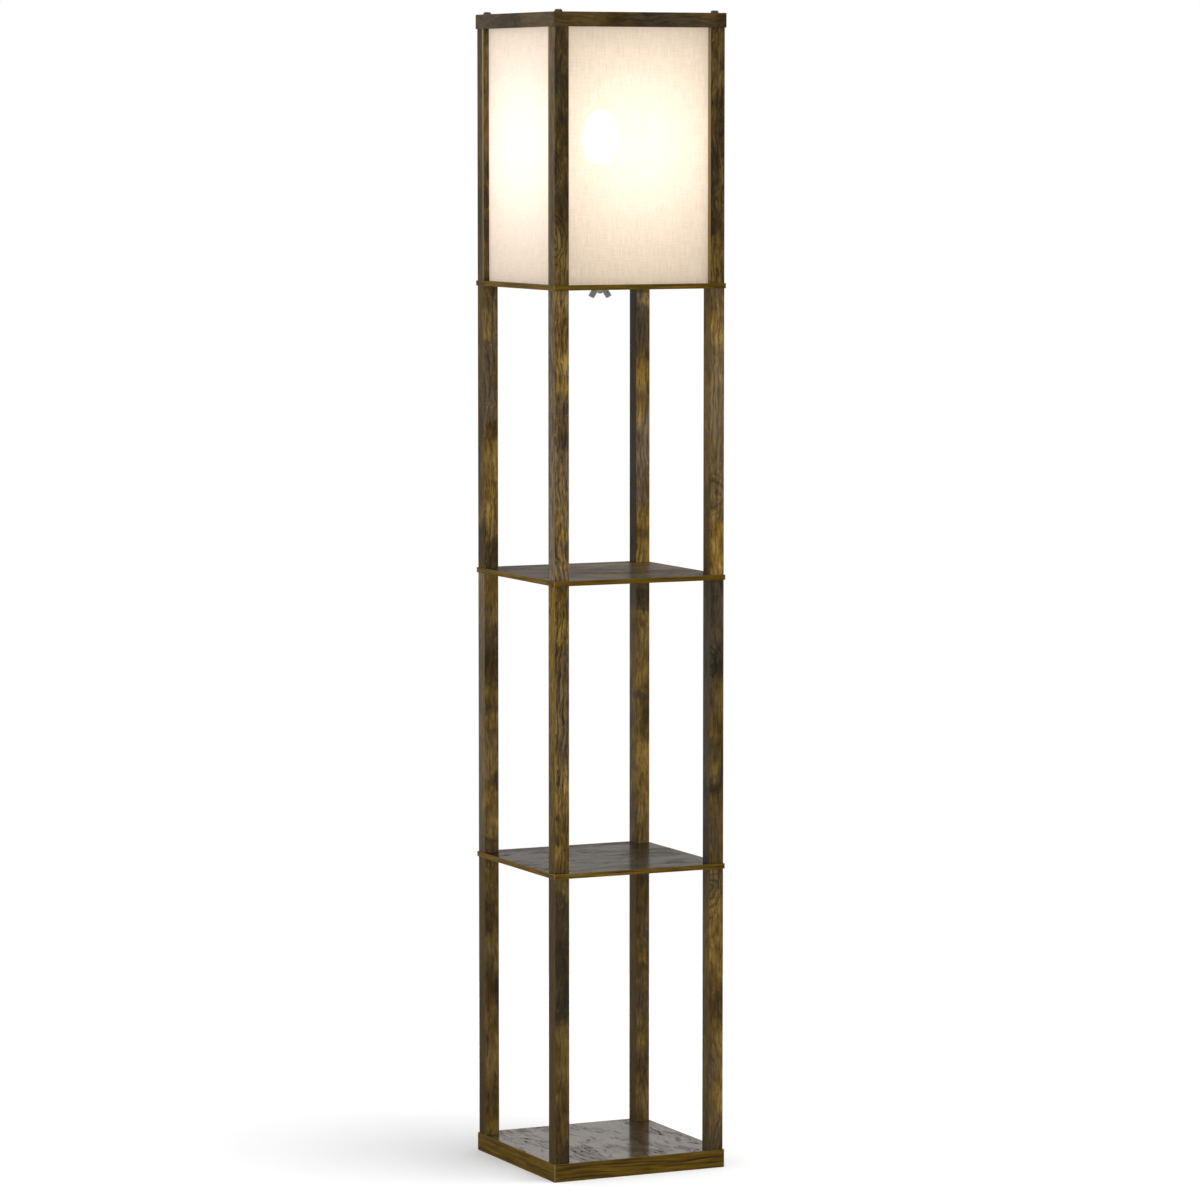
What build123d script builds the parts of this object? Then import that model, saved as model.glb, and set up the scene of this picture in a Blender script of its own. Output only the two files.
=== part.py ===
from build123d import *
import os
from math import acos, cos, degrees, radians, sin, sqrt

# Shelf floor lamp: a square wooden tower of three open bays with a linen shade on top.
# Millimetres, +Z up. The origin is the centre of the base's underside.
# The wide side that faces the viewer looks along -Y, and the narrow one on the left along -X.

os.makedirs("parts", exist_ok=True)

# ---------------------------------------------------------------- driving dimensions

# Boards
board_side = 260.0
base_thick = 25.0
shelf_thick = 7.0
banding_thick = 0.6
banding_joint = 0.1

# Posts
post_side = 21.5
post_edge_round = 0.8
board_overhang = 1.5
shelf_post_length = 395.0
shade_post_length = 349.0

# Top frame
rail_width = 23.0
rail_height = 20.0
rail_edge_round = 0.6

# Shade panels, each a linen face bonded to a stiff liner, held in grooves
panel_setback = 8.5
linen_thick = 0.6
liner_thick = 0.5
groove_depth = 4.0
panel_side_play = 0.15
panel_end_play = 0.3

# M6 fasteners and the inserts that take them
thread_size = 6.0
thread_play = 0.05
bolt_hole_play = 0.3
insert_outer = 9.0
insert_length = 15.0
insert_glue_gap = 0.05
pilot_depth = 4.0
thread_grip = 13.0
stud_end_chamfer = 0.6
button_head_size = 11.0
button_head_height = 3.5
button_head_dome = 2.8
hex_socket_size = 4.0
hex_socket_depth = 1.8
counterbore_size = 14.0
counterbore_depth = 8.0

# Wing nut that clamps the lampholder's stem to the shade floor
wing_nut_hub_height = 6.3
wing_nut_hub_top = 13.0
wing_nut_hub_low = 10.0
wing_nut_height = 14.4
wing_span = 33.4
wing_thick = 2.6
wing_end_width = 8.4
wing_end_slope = 3.8
wing_shoulder_reach = 11.8
wing_shoulder_drop = 2.6
wing_root_drop = 1.0
wing_corner_round = 1.8
wing_edge_round = 0.5
wing_turn = -10.0
washer_size = 18.0
washer_thick = 1.6
clamp_stud_show = 1.2
clamp_stud_grip = 18.0

# Stem
flange_size = 60.0
flange_thick = 2.5
flange_chamfer = 0.8
stem_length = 103.0
stem_size = 12.0
stem_neck_size = 10.0
stem_neck_length = 8.0
stem_bore = 7.0
stem_outlet_size = 6.0
stem_outlet_rise = 30.0
stem_outlet_sill = 1.5
stem_neck_play = 0.1

# Bulb, an egg-shaped envelope on an E27 cap
glass_size = 50.0
glass_height = 78.0
glass_wall = 1.0
neck_size = 26.4
neck_length = 6.4
cap_size = 26.2
cap_thread_pitch = 3.629
cap_thread_depth = 0.8
cap_thread_turns = 5
cap_wall = 0.5
cap_length = 22.0
cap_foot_size = 22.0
cap_insulator_height = 2.5
cap_bead_play = 0.1
cap_bead_plug = 1.0
contact_size = 9.0
contact_height = 2.0
contact_round = 0.8

# Lampholder
screw_shell_play = 0.3
screw_shell_wall = 0.4
holder_size = 39.0
holder_wall = 2.2
holder_rim_rise = 4.0
holder_rim_round = 0.8
holder_cap_height = 17.0
holder_cap_bowl = 8.5
holder_cap_foot = 18.0
holder_cap_floor = 5.0
holder_neck_height = 6.0
holder_fit = 0.15
insulator_thick = 2.4
wire_hole_size = 3.0
wire_hole_pitch = 22.0
spring_width = 8.0
spring_thick = 0.5
spring_foot_reach = 10.0
spring_bend_reach = 3.3
spring_tip_reach = 6.7
spring_rise = 0.8
spring_gap = 0.3

# Cord inlet in the shade floor, near the back
inlet_setback = 38.0
inlet_bore = 8.0
inlet_hole = 12.0
inlet_lip_size = 16.0
inlet_lip_thick = 1.5
inlet_lip_round = 0.6
inlet_fit = 0.1

# ---------------------------------------------------------------- levels and places worked out

base_top = base_thick
lower_shelf_bottom = base_top + shelf_post_length
lower_shelf_top = lower_shelf_bottom + shelf_thick
upper_shelf_bottom = lower_shelf_top + shelf_post_length
upper_shelf_top = upper_shelf_bottom + shelf_thick
shade_floor_bottom = upper_shelf_top + shelf_post_length
shade_floor_top = shade_floor_bottom + shelf_thick
rail_bottom = shade_floor_top + shade_post_length
rail_top = rail_bottom + rail_height

half_board = board_side / 2
post_outer = half_board - board_overhang
post_inner = post_outer - post_side
post_centre = post_outer - post_side / 2
post_pitch = 2 * post_centre
corners = {
    "front_left": (-1, -1),
    "front_right": (1, -1),
    "back_left": (-1, 1),
    "back_right": (1, 1),
}
corner_points = [(sx * post_centre, sy * post_centre) for sx, sy in corners.values()]
side_turns = {"front": 0, "right": 90, "back": 180, "left": 270}

panel_outer = post_outer - panel_setback
panel_thick = linen_thick + liner_thick
groove_width = panel_thick + 2 * panel_side_play
groove_middle = panel_outer - panel_thick / 2
panel_width = 2 * (post_inner + groove_depth - panel_end_play)
panel_height = shade_post_length + groove_depth - panel_end_play

thread_radius = thread_size / 2
threaded_bore = thread_radius + thread_play
bolt_hole = thread_radius + bolt_hole_play
insert_pocket = insert_outer / 2 + insert_glue_gap

nut_top = shade_floor_bottom - washer_thick
stud_foot = nut_top - wing_nut_hub_height - clamp_stud_show
stem_foot = shade_floor_top + flange_thick

holder_foot = stem_foot + stem_length
holder_joint = holder_foot + holder_cap_height
holder_bore = holder_size / 2 - holder_wall
insulator_foot = holder_joint + holder_neck_height
insulator_top = insulator_foot + insulator_thick
spring_top = insulator_top + spring_rise
bulb_foot = spring_top + spring_gap
cap_foot = bulb_foot + contact_height + cap_insulator_height
cap_top = cap_foot + cap_length
holder_rim = cap_top + holder_rim_rise
shell_bore = cap_size / 2 + screw_shell_play
neck_top = cap_top + neck_length
inlet_back = half_board - inlet_setback

on_foot = (Align.CENTER, Align.CENTER, Align.MIN)
under_top = (Align.CENTER, Align.CENTER, Align.MAX)


def save(piece, label):
    """Label a finished piece and write it under its own name."""
    piece.part.label = label
    export_step(piece.part, f"parts/{label}.step")


# ---------------------------------------------------------------- boards

# Base: a thick square board, with a counterbored bolt hole under each post.
core_side = board_side - 2 * banding_thick
with BuildPart() as base_board:
    with BuildSketch():
        Rectangle(core_side, core_side)
    extrude(amount=base_thick)
    with Locations(Plane.XY.rotated((180, 0, 0))):
        with GridLocations(post_pitch, post_pitch, 2, 2):
            CounterBoreHole(bolt_hole, counterbore_size / 2, counterbore_depth, base_thick)
save(base_board, "base_board")


def make_shelf(label, bottom, extra_holes=()):
    """A thin square board with a stud hole at each post, and any extra (y, radius) holes."""
    with BuildPart() as shelf:
        with BuildSketch(Plane.XY.offset(bottom)):
            Rectangle(core_side, core_side)
            with GridLocations(post_pitch, post_pitch, 2, 2):
                Circle(bolt_hole, mode=Mode.SUBTRACT)
            for back, radius in extra_holes:
                with Locations((0, back)):
                    Circle(radius, mode=Mode.SUBTRACT)
        extrude(amount=shelf_thick)
    save(shelf, label)


make_shelf("lower_shelf", lower_shelf_bottom)
make_shelf("upper_shelf", upper_shelf_bottom)
make_shelf("shade_floor", shade_floor_bottom, [(0, bolt_hole), (inlet_back, inlet_hole / 2)])


def make_banding(label, bottom, thick):
    """The four strips that cover a board's sawn edges, with a hairline at each corner."""
    middle = half_board - banding_thick / 2
    short_length = core_side - 2 * banding_joint
    with BuildPart() as banding:
        with BuildSketch(Plane.XY.offset(bottom)):
            with Locations((0, -middle), (0, middle)):
                Rectangle(board_side, banding_thick)
            with Locations((-middle, 0), (middle, 0)):
                Rectangle(banding_thick, short_length)
        extrude(amount=thick)
    save(banding, label)


make_banding("base_edge_banding", 0, base_thick)
make_banding("lower_shelf_edge_banding", lower_shelf_bottom, shelf_thick)
make_banding("upper_shelf_edge_banding", upper_shelf_bottom, shelf_thick)
make_banding("shade_floor_edge_banding", shade_floor_bottom, shelf_thick)

# ---------------------------------------------------------------- posts


def make_post(label, side_x, side_y, bottom, length, grooved):
    """A square post with an insert pocket in each end, and two panel grooves where it holds them."""
    x = side_x * post_centre
    y = side_y * post_centre
    groove_centre = post_inner + groove_depth / 2
    with BuildPart() as post:
        with BuildSketch(Plane.XY.offset(bottom)) as section:
            with Locations((x, y)):
                RectangleRounded(post_side, post_side, post_edge_round)
            if grooved:
                with Locations((side_x * groove_centre, side_y * groove_middle)):
                    Rectangle(groove_depth, groove_width, mode=Mode.SUBTRACT)
                with Locations((side_x * groove_middle, side_y * groove_centre)):
                    Rectangle(groove_width, groove_depth, mode=Mode.SUBTRACT)
        extrude(amount=length)
        for height, toward_middle in ((bottom, on_foot), (bottom + length, under_top)):
            with Locations((x, y, height)):
                Cylinder(insert_pocket, insert_length, align=toward_middle, mode=Mode.SUBTRACT)
                Cylinder(bolt_hole, insert_length + pilot_depth, align=toward_middle, mode=Mode.SUBTRACT)
    save(post, label)


post_rows = {
    "lower": (base_top, shelf_post_length, False),
    "middle": (lower_shelf_top, shelf_post_length, False),
    "upper": (upper_shelf_top, shelf_post_length, False),
    "shade": (shade_floor_top, shade_post_length, True),
}
for row, (bottom, length, grooved) in post_rows.items():
    for corner, (side_x, side_y) in corners.items():
        make_post(f"{row}_post_{corner}", side_x, side_y, bottom, length, grooved)

# Threaded sleeves, one in each end of each post.
insert_heights = []
for bottom, length, grooved in post_rows.values():
    insert_heights.append(bottom)
    insert_heights.append(bottom + length - insert_length)
with BuildPart() as post_inserts:
    for height in insert_heights:
        with BuildSketch(Plane.XY.offset(height)):
            with GridLocations(post_pitch, post_pitch, 2, 2):
                Circle(insert_outer / 2)
                Circle(threaded_bore, mode=Mode.SUBTRACT)
        extrude(amount=insert_length)
save(post_inserts, "post_inserts")

# ---------------------------------------------------------------- top frame


def make_rail(label, turn):
    """One mitred rail: it lies on two posts, and its underside holds the top of a panel."""
    inner = half_board - rail_width
    groove_end = post_inner + groove_depth
    with BuildPart() as rail:
        with BuildSketch(Plane.XY.offset(rail_bottom).rotated((0, 0, turn))):
            with BuildLine():
                Polyline(
                    (-half_board, -half_board),
                    (half_board, -half_board),
                    (inner, -inner),
                    (-inner, -inner),
                    close=True,
                )
            make_face()
        extrude(amount=rail_height)
        outer_edges = rail.edges().sort_by(SortBy.LENGTH)[-2:]
        fillet(outer_edges, rail_edge_round)
        with BuildSketch(Plane.XY.offset(rail_bottom).rotated((0, 0, turn))):
            with Locations((0, -groove_middle)):
                Rectangle(2 * groove_end, groove_width)
        extrude(amount=groove_depth, mode=Mode.SUBTRACT)
        with BuildSketch(Plane.XY.offset(rail_bottom)):
            with GridLocations(post_pitch, post_pitch, 2, 2):
                Circle(bolt_hole)
        extrude(amount=rail_height, mode=Mode.SUBTRACT)
    save(rail, label)


for side, turn in side_turns.items():
    make_rail(f"{side}_rail", turn)

# ---------------------------------------------------------------- shade panels


def make_sheet(label, turn, outer, thick):
    """One flat layer of a shade panel, its face the given distance from the lamp's axis."""
    with BuildPart() as sheet:
        with BuildSketch(Plane.XY.offset(shade_floor_top).rotated((0, 0, turn))):
            with Locations((0, thick / 2 - outer)):
                Rectangle(panel_width, thick)
        extrude(amount=panel_height)
    save(sheet, label)


for side, turn in side_turns.items():
    make_sheet(f"{side}_linen", turn, panel_outer, linen_thick)
    make_sheet(f"{side}_liner", turn, panel_outer - linen_thick, liner_thick)

# ---------------------------------------------------------------- fasteners of the tower


def make_studs(label, board_bottom):
    """Double-ended studs that pull the post above a board down on the post below it."""
    length = shelf_thick + 2 * thread_grip
    with BuildPart() as studs:
        with BuildSketch(Plane.XY.offset(board_bottom - thread_grip)):
            with GridLocations(post_pitch, post_pitch, 2, 2):
                Circle(thread_radius)
        extrude(amount=length)
        chamfer(studs.edges().filter_by(GeomType.CIRCLE), stud_end_chamfer)
    save(studs, label)


make_studs("lower_shelf_studs", lower_shelf_bottom)
make_studs("upper_shelf_studs", upper_shelf_bottom)
make_studs("shade_floor_studs", shade_floor_bottom)


def make_button_screws(label, seat, shank_length, upward):
    """Four domed screws with a hexagon socket. The head lies above its seat, or below it."""
    head_end = on_foot if upward else under_top
    shank_end = under_top if upward else on_foot
    rise = button_head_height if upward else -button_head_height
    head_radius = button_head_size / 2
    with BuildPart() as screws:
        with Locations(*[(x, y, seat) for x, y in corner_points]):
            Cylinder(head_radius, button_head_height, align=head_end)
            Cylinder(thread_radius, shank_length, align=shank_end)
        head_edges = screws.edges().filter_by(GeomType.CIRCLE).group_by(Axis.Z)
        fillet(head_edges[-1 if upward else 0], button_head_dome)
        with BuildSketch(Plane.XY.offset(seat + rise)):
            with GridLocations(post_pitch, post_pitch, 2, 2):
                RegularPolygon(hex_socket_size / 2, 6, major_radius=False)
        extrude(amount=-hex_socket_depth if upward else hex_socket_depth, mode=Mode.SUBTRACT)
    save(screws, label)


make_button_screws("base_bolts", counterbore_depth, base_thick - counterbore_depth + thread_grip, False)
make_button_screws("top_cap_screws", rail_top, rail_height + thread_grip, True)

# ---------------------------------------------------------------- clamp under the shade floor

# Stud: it screws into the stem and comes out under the shade floor.
with BuildPart() as clamp_stud:
    with BuildSketch(Plane.XY.offset(stud_foot)):
        Circle(thread_radius)
    extrude(amount=stem_foot + clamp_stud_grip - stud_foot)
    chamfer(clamp_stud.edges().filter_by(GeomType.CIRCLE), stud_end_chamfer)
save(clamp_stud, "clamp_stud")

with BuildPart() as clamp_washer:
    with BuildSketch(Plane.XY.offset(nut_top)):
        Circle(washer_size / 2)
        Circle(bolt_hole, mode=Mode.SUBTRACT)
    extrude(amount=washer_thick)
save(clamp_washer, "clamp_washer")

# Wing nut: a tapered hub with two paddle wings that lean out and down.
wing_plane = Plane(
    origin=(0, 0, nut_top),
    x_dir=(cos(radians(wing_turn)), sin(radians(wing_turn)), 0),
    z_dir=(sin(radians(wing_turn)), -cos(radians(wing_turn)), 0),
)
wing_tip = wing_span / 2
wing_toe = wing_tip - sqrt(wing_end_width**2 - wing_end_slope**2)
hub_side = wing_nut_hub_low / 2 - wing_edge_round
with BuildPart() as wing_nut:
    with BuildSketch(wing_plane) as wings:
        with BuildLine():
            Polyline(
                (0, -wing_root_drop),
                (hub_side, -wing_root_drop),
                (wing_shoulder_reach, -wing_shoulder_drop),
                (wing_tip, -wing_nut_height + wing_end_slope),
                (wing_toe, -wing_nut_height),
                (hub_side, -wing_nut_hub_height),
                (0, -wing_nut_hub_height),
                close=True,
            )
        make_face()
        fillet(wings.vertices().sort_by(Axis.X)[-3:], wing_corner_round)
        mirror(about=Plane.YZ)
    extrude(amount=wing_thick / 2, both=True)
    broad_faces = wing_nut.faces().sort_by(SortBy.AREA)[-2:]
    fillet(broad_faces[0].edges() + broad_faces[1].edges(), wing_edge_round)
    with Locations((0, 0, nut_top)):
        Cone(wing_nut_hub_low / 2, wing_nut_hub_top / 2, wing_nut_hub_height, align=under_top)
        Hole(threaded_bore)
save(wing_nut, "wing_nut")

# ---------------------------------------------------------------- stem

with BuildPart() as stem_flange:
    with BuildSketch(Plane.XY.offset(shade_floor_top)):
        Circle(flange_size / 2)
        Circle(bolt_hole, mode=Mode.SUBTRACT)
    extrude(amount=flange_thick)
    upper_edges = stem_flange.edges().group_by(Axis.Z)[-1]
    chamfer(upper_edges.sort_by(SortBy.RADIUS)[-1], flange_chamfer)
save(stem_flange, "stem_flange")

# Stem: its foot takes the clamp stud, its neck screws into the lampholder,
# and the cord passes from the side outlet up through the bore.
with BuildPart() as stem:
    with BuildSketch(Plane.XY.offset(stem_foot)):
        Circle(stem_size / 2)
    extrude(amount=stem_length)
    with BuildSketch(Plane.XY.offset(holder_foot)):
        Circle(stem_neck_size / 2)
    extrude(amount=stem_neck_length)
    with Locations((0, 0, stem_foot)):
        Cylinder(threaded_bore, clamp_stud_grip + pilot_depth, align=on_foot, mode=Mode.SUBTRACT)
    bore_foot = stem_foot + stem_outlet_rise - stem_outlet_size / 2 - stem_outlet_sill
    with BuildSketch(Plane.XY.offset(bore_foot)):
        Circle(stem_bore / 2)
    extrude(amount=holder_foot + stem_neck_length - bore_foot, mode=Mode.SUBTRACT)
    with BuildSketch(Plane.XZ) as outlet:
        with Locations((0, stem_foot + stem_outlet_rise)):
            Circle(stem_outlet_size / 2)
    extrude(amount=-stem_size, mode=Mode.SUBTRACT)
save(stem, "stem_tube")

# ---------------------------------------------------------------- lampholder

# Lower half: a bowl that screws on the stem, with a neck that the shell slips over.
neck_radius = holder_bore - holder_fit
with BuildPart() as holder_cap:
    with BuildSketch(Plane.XZ):
        with BuildLine():
            Polyline(
                (stem_neck_size / 2 + stem_neck_play, holder_foot),
                (holder_cap_foot / 2, holder_foot),
                (holder_size / 2, holder_foot + holder_cap_bowl),
                (holder_size / 2, holder_joint),
                (neck_radius, holder_joint),
                (neck_radius, insulator_foot),
                (neck_radius - holder_wall, insulator_foot),
                (neck_radius - holder_wall, holder_foot + holder_cap_bowl),
                (holder_cap_foot / 2, holder_foot + holder_cap_floor),
                (stem_neck_size / 2 + stem_neck_play, holder_foot + holder_cap_floor),
                close=True,
            )
        make_face()
    revolve(axis=Axis.Z)
save(holder_cap, "holder_cap")

# Upper half: a plain sleeve round the screw shell.
with BuildPart() as holder_shell:
    with BuildSketch(Plane.XY.offset(holder_joint)):
        Circle(holder_size / 2)
        Circle(holder_bore, mode=Mode.SUBTRACT)
    extrude(amount=holder_rim - holder_joint)
    rim_edges = holder_shell.edges().filter_by(GeomType.CIRCLE).group_by(Axis.Z)[-1]
    fillet(rim_edges, holder_rim_round)
save(holder_shell, "holder_shell")

with BuildPart() as holder_insulator:
    with BuildSketch(Plane.XY.offset(insulator_foot)):
        Circle(neck_radius)
        with Locations((0, -wire_hole_pitch / 2), (0, wire_hole_pitch / 2)):
            Circle(wire_hole_size / 2, mode=Mode.SUBTRACT)
    extrude(amount=insulator_thick)
save(holder_insulator, "holder_insulator")

with BuildPart() as screw_shell:
    with BuildSketch(Plane.XY.offset(insulator_top)):
        Circle(shell_bore + screw_shell_wall)
        Circle(shell_bore, mode=Mode.SUBTRACT)
    extrude(amount=cap_top - insulator_top)
save(screw_shell, "holder_screw_shell")

# Centre contact: a strip with its free end raised to just under the bulb's contact.
with BuildPart() as centre_contact:
    with BuildSketch(Plane.XZ):
        with BuildLine():
            Polyline(
                (-spring_foot_reach, insulator_top),
                (-spring_bend_reach, insulator_top),
                (spring_bend_reach, spring_top - spring_thick),
                (spring_tip_reach, spring_top - spring_thick),
                (spring_tip_reach, spring_top),
                (spring_bend_reach - spring_thick / 2, spring_top),
                (-spring_bend_reach - spring_thick / 2, insulator_top + spring_thick),
                (-spring_foot_reach, insulator_top + spring_thick),
                close=True,
            )
        make_face()
    extrude(amount=spring_width / 2, both=True)
save(centre_contact, "holder_centre_contact")

# ---------------------------------------------------------------- bulb

# Envelope: an ellipse turned about its long axis, on a short straight neck. The second pass
# hollows it.
neck_share = neck_size / glass_size
glass_centre = neck_top + glass_height / 2 * sqrt(1 - neck_share**2)
with BuildPart() as bulb_glass:
    for inset, mode in ((0, Mode.ADD), (glass_wall, Mode.SUBTRACT)):
        reach = glass_size / 2 - inset
        rise = glass_height / 2 - inset
        neck = neck_size / 2 - inset
        neck_turn = degrees(acos(neck / reach))
        with BuildSketch(Plane.XZ):
            with BuildLine():
                side = EllipticalCenterArc(
                    (0, glass_centre), reach, rise, start_angle=-neck_turn, arc_size=neck_turn + 90
                )
                Polyline(side @ 1, (0, cap_top), (neck, cap_top), side @ 0)
            make_face()
        revolve(axis=Axis.Z, mode=mode)
save(bulb_glass, "bulb_glass")

# Cap: a thin sleeve rolled into a round thread, drawn as rings.
thread_crest = cap_size / 2
thread_middle = thread_crest - cap_thread_depth / 2
thread_root = thread_crest - cap_thread_depth
sleeve_bore = thread_root - cap_wall
thread_foot = cap_top - cap_thread_pitch * cap_thread_turns
cap_foot_radius = cap_foot_size / 2
with BuildPart() as bulb_cap:
    with BuildSketch(Plane.XZ):
        with BuildLine():
            Polyline(
                (thread_middle, cap_top),
                (sleeve_bore, cap_top),
                (sleeve_bore, thread_foot),
                (cap_foot_radius - cap_wall, cap_foot),
                (cap_foot_radius, cap_foot),
                (thread_middle, thread_foot),
            )
            for turn in range(cap_thread_turns):
                start = thread_foot + turn * cap_thread_pitch
                middle = start + cap_thread_pitch / 2
                end = start + cap_thread_pitch
                crest = (thread_crest, start + cap_thread_pitch / 4)
                root = (thread_root, middle + cap_thread_pitch / 4)
                ThreePointArc((thread_middle, start), crest, (thread_middle, middle))
                ThreePointArc((thread_middle, middle), root, (thread_middle, end))
        make_face()
    revolve(axis=Axis.Z)
save(bulb_cap, "bulb_cap")

# Insulating bead between the cap and its contact button.
bead_radius = cap_foot_radius - cap_wall - cap_bead_play
with BuildPart() as bulb_insulator:
    with Locations((0, 0, cap_foot)):
        Cone(contact_size / 2, bead_radius, cap_insulator_height, align=under_top)
        Cylinder(bead_radius, cap_bead_plug, align=on_foot)
save(bulb_insulator, "bulb_insulator")

with BuildPart() as bulb_contact:
    with Locations((0, 0, bulb_foot)):
        Cylinder(contact_size / 2, contact_height, align=on_foot)
    foot_edge = bulb_contact.edges().filter_by(GeomType.CIRCLE).sort_by(Axis.Z)[0]
    fillet(foot_edge, contact_round)
save(bulb_contact, "bulb_contact")

# ---------------------------------------------------------------- cord inlet

# Grommet: a lip above and below the shade floor, joined through the hole.
with BuildPart() as cord_grommet:
    with Locations((0, inlet_back, shade_floor_bottom)):
        Cylinder(inlet_lip_size / 2, inlet_lip_thick, align=under_top)
        Cylinder(inlet_hole / 2 - inlet_fit, shelf_thick, align=on_foot)
    with Locations((0, inlet_back, shade_floor_top)):
        Cylinder(inlet_lip_size / 2, inlet_lip_thick, align=on_foot)
    lip_edges = cord_grommet.edges().filter_by(GeomType.CIRCLE).group_by(Axis.Z)
    fillet(lip_edges[0] + lip_edges[-1], inlet_lip_round)
    with Locations((0, inlet_back, shade_floor_top + inlet_lip_thick)):
        Hole(inlet_bore / 2)
save(cord_grommet, "cord_grommet")
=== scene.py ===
"""A shelf floor lamp: the finishes of its CAD pieces, its linen panels, and the studio round it."""

import math

import bpy
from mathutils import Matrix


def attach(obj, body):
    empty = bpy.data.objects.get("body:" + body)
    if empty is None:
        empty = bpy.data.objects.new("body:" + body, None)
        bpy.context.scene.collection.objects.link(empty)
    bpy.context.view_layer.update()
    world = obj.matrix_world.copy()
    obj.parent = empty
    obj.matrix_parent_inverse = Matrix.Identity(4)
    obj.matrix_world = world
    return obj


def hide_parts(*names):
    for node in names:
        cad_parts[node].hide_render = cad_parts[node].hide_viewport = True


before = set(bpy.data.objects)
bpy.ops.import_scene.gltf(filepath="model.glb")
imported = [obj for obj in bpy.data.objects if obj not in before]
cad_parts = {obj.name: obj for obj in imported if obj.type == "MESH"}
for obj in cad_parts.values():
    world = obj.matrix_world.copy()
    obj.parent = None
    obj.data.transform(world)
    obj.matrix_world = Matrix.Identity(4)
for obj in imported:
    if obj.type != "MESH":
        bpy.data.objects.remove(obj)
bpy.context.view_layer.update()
scene = bpy.context.scene

# ---------------------------------------------------------------- sizes, in metres

BOARD_HALF = 0.130  # from the tower's axis to the outer face of a board's banding
POST_CENTRE = 0.11775  # from the axis to the middle of a corner post, along X or Y
POST_HALF = 0.01075  # half of a post's side

PANEL_FACE = 0.120  # from the axis to the outer face of the cloth
PANEL_WIDTH = 0.2214
PANEL_HEIGHT = 0.3527
PANEL_FOOT = 1.231  # the top of the shade floor, on which the panels stand
LINEN_THICK = 0.0006
LINEN_CELLS = (44, 70)  # cells of the cloth across and up
THREAD_PITCH = 0.0009  # from one thread to the next
THREAD_DRIFT = 0.0012  # the width of the band in which a thread wanders
RIPPLE_SPAN = 0.080  # the size of a ripple
RIPPLE_DEPTH = 0.0008  # from the lowest to the highest place of the ripples
RIPPLE_LEVEL = 0.25  # the share of that depth which lies behind the cloth's flat face
HEM_SIDE = 6  # how the upright hems hold the cloth: a higher power holds less of it
HEM_END = 8  # the same for the level hems
SMOOTH_ANGLE = math.radians(40.0)
ORIGIN = (0.0, 0.0, 0.0)

GLOW_STRIP_END = 0.1125  # where the painted glow along a shade post's inner edge ends, from the axis
GLOW_STRIP_SOFT = 0.002
CORNER_RUB = 0.0009  # how far the rubbed corners of a post reach
BANDING_RUB = 0.0011  # how far the rubbed corners of the banding reach
TOP_HIGHLIGHT_DROP = 0.0006  # the painted highlight under a board's top edge is full from here up
TOP_HIGHLIGHT_SOFT = 0.0010  # and fades out over this much below

BULB_CENTRE_HEIGHT = 1.421
BULB_NECK = (1.390, 1.400)  # between these heights the glass brightens from its neck to its globe
POOL_REACH = 0.144  # how far out the bulb's pool of light on the cloth has fallen to a half
POOL_FALL = 2.2  # how steeply it falls there

# How far each side is turned round the tower from the front, in degrees.
SIDES = {"front": 0.0, "right": 90.0, "back": 180.0, "left": 270.0}

# Where each kind of post stands: its foot and its top.
POST_SPANS = {
    "lower": (0.025, 0.420),
    "middle": (0.427, 0.822),
    "upper": (0.829, 1.224),
    "shade": (1.231, 1.580),
}

# The depth of each surface's relief.
FOIL_RELIEF = 0.00012
LAMINATE_RELIEF = 0.00008
BANDING_RELIEF = 0.00010
WEAVE_RELIEF = 0.00020
METAL_RELIEF = 0.00004
MOULDING_RELIEF = 0.00003
POWDER_RELIEF = 0.00006
RUBBER_RELIEF = 0.00004
FILM_RELIEF = 0.00003
GLAZE_RELIEF = 0.00002
GLASS_RELIEF = 0.00002

# ---------------------------------------------------------------- inks and tones

# The print of the oak foil, from its dark to its light wood: (place, red, green, blue).
OAK_INKS = [
    (0.39, 0.061, 0.036, 0.008),
    (0.45, 0.108, 0.062, 0.011),
    (0.51, 0.171, 0.101, 0.018),
    (0.57, 0.246, 0.151, 0.032),
    (0.64, 0.335, 0.217, 0.066),
]
ASHEN_INK = (0.124, 0.092, 0.058, 1.0)
CHARCOAL_INK = (0.046, 0.033, 0.019, 1.0)
RING_INK = (0.040, 0.024, 0.008, 1.0)
FLECK_INK = (0.340, 0.205, 0.055, 1.0)
PORE_INK = (0.024, 0.015, 0.006, 1.0)
KNOT_INK = (0.026, 0.019, 0.012, 1.0)
ASH_STREAK_INK = (0.034, 0.024, 0.014, 1.0)
CRACK_INK = (0.008, 0.006, 0.005, 1.0)
# The painted glow of the lit linen on the shade posts' flanks.
POST_GLOW_TONE = (0.300, 0.220, 0.110, 1.0)
RUBBED_FOIL = (0.175, 0.115, 0.045, 1.0)

# The tones that the posts' flanks lean towards: partly the print's tone, partly painted sheen and
# painted glow from the lit shade.
FLANK_TONES_AND_PAINTED_LIGHT = {
    "ashen": (0.135, 0.098, 0.055, 1.0),
    "smoky": (0.058, 0.044, 0.026, 1.0),
    "umber": (0.076, 0.045, 0.006, 1.0),
    "russet": (0.058, 0.036, 0.006, 1.0),
    "dark": (0.018, 0.012, 0.004, 1.0),
    "golden": (0.170, 0.094, 0.003, 1.0),
}

# The print of the banding, from its dark to its light wood.
BANDING_INKS = [
    (0.34, 0.070, 0.038, 0.001),
    (0.45, 0.098, 0.054, 0.002),
    (0.56, 0.128, 0.072, 0.003),
    (0.68, 0.166, 0.097, 0.010),
]
BANDING_LINE_INK = (0.020, 0.011, 0.002, 1.0)
BANDING_TOP_HIGHLIGHT = (0.130, 0.098, 0.020, 1.0)
RUBBED_BANDING = (0.340, 0.280, 0.170, 1.0)

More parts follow.
